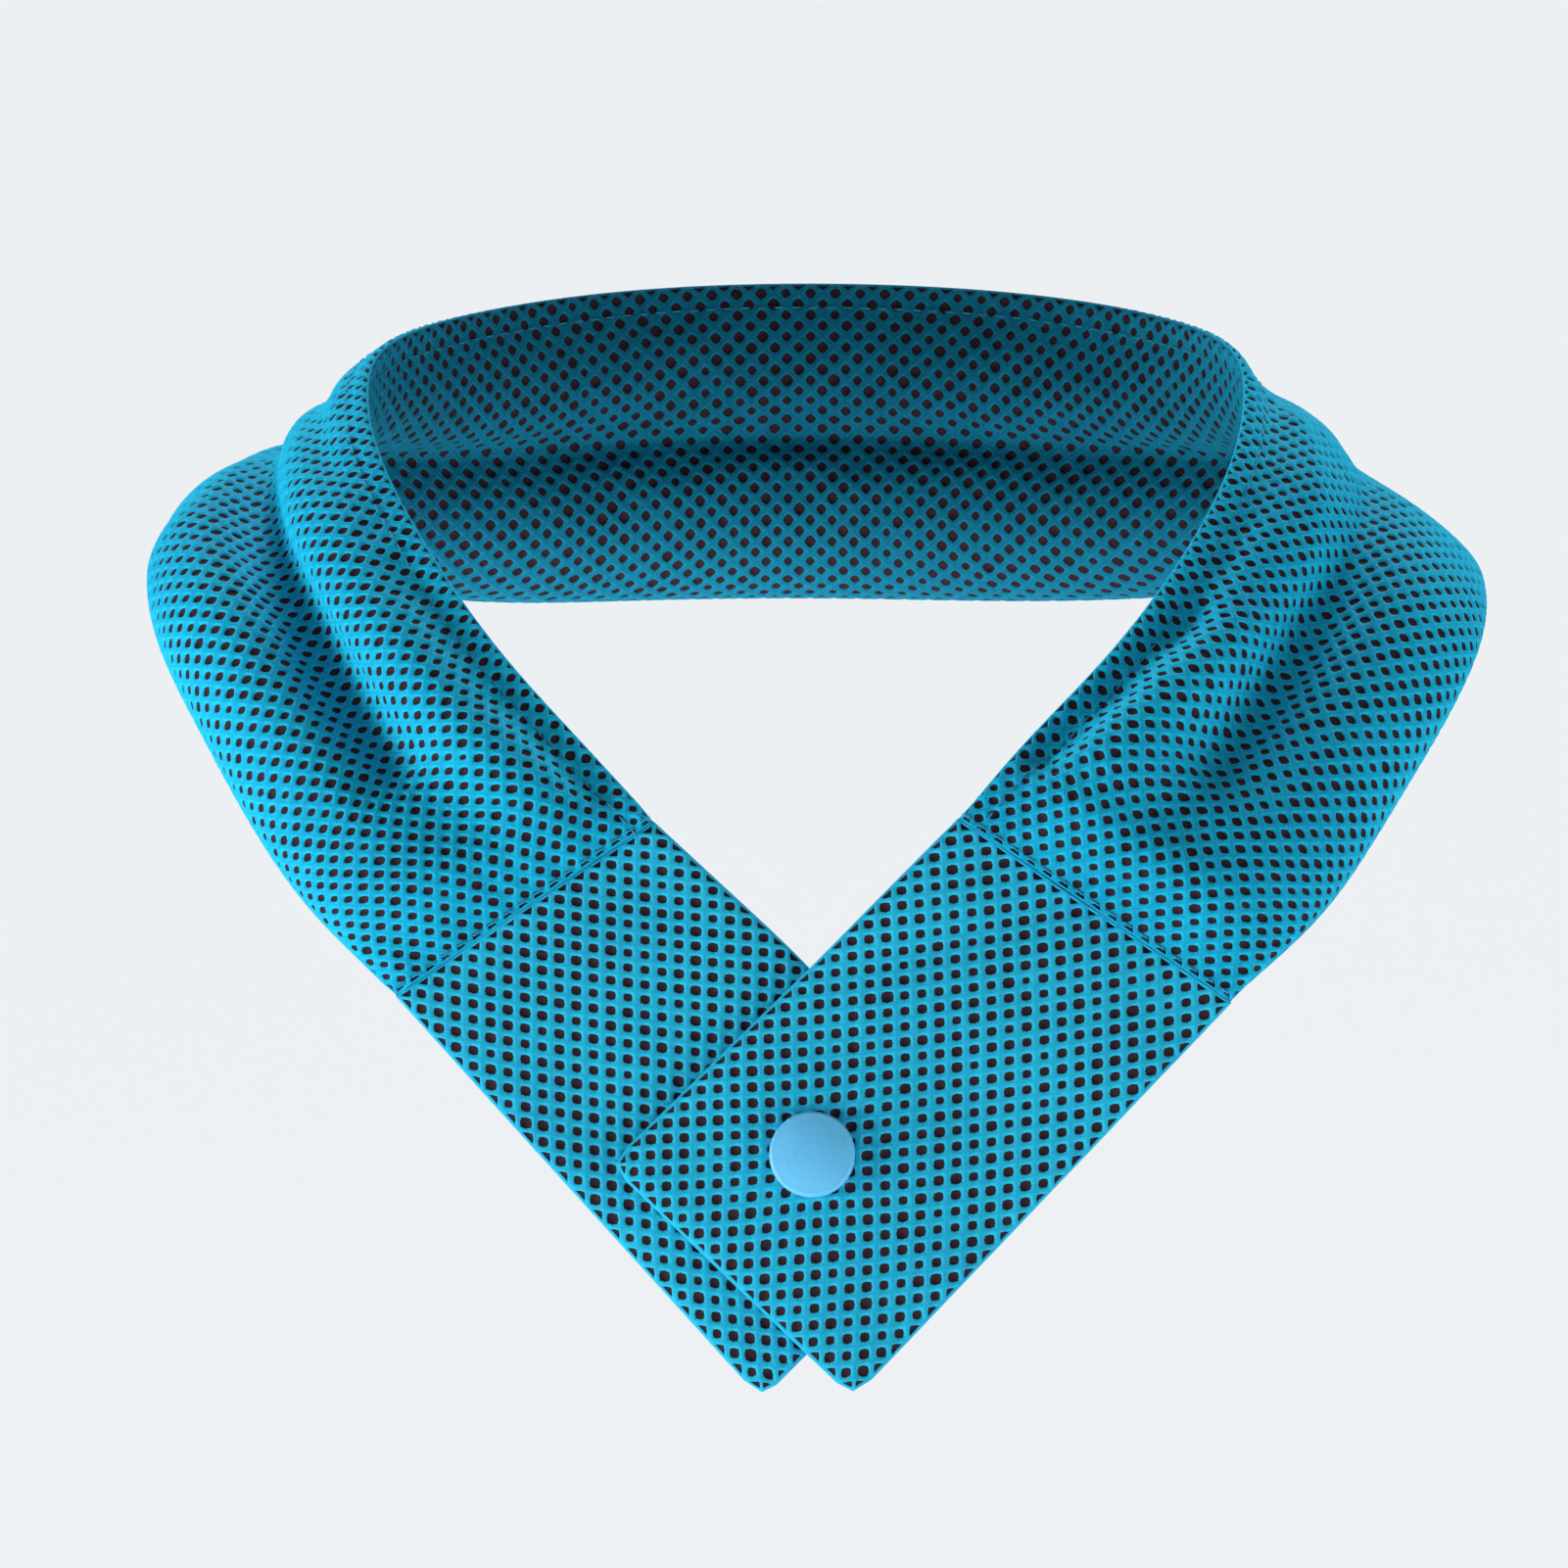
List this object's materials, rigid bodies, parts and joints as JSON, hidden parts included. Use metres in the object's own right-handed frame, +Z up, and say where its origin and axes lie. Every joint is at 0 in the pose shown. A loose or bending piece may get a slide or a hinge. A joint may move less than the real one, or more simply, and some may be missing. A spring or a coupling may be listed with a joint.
{
  "type": "cooling neck wrap",
  "caption": "Padded mesh-knit neck sleeve worn as a loop, its flat tails crossed on the chest and held by a round plastic snap.",
  "frame": {"origin": "where the back of the neck seats: the inner face of the back of the loop, halfway down the band, on the middle plane", "axes": "+X to the viewer's right, +Y backwards through the nape, +Z up; the tails hang down the chest at -Y"},
  "size_m": [0.2332, 0.1648, 0.1682],
  "materials": {
    "knit_fabric": "turquoise perforated diamond mesh knit, matt",
    "snap_plastic": "moulded acetal in the cloth's own light blue, fine matt"
  },
  "bodies": {
    "root": {"padded_sleeve": "knit_fabric", "left_tail": "knit_fabric", "right_tail": "knit_fabric", "snap_cap": "snap_plastic", "snap_stud": "snap_plastic"}
  },
  "joints": []
}
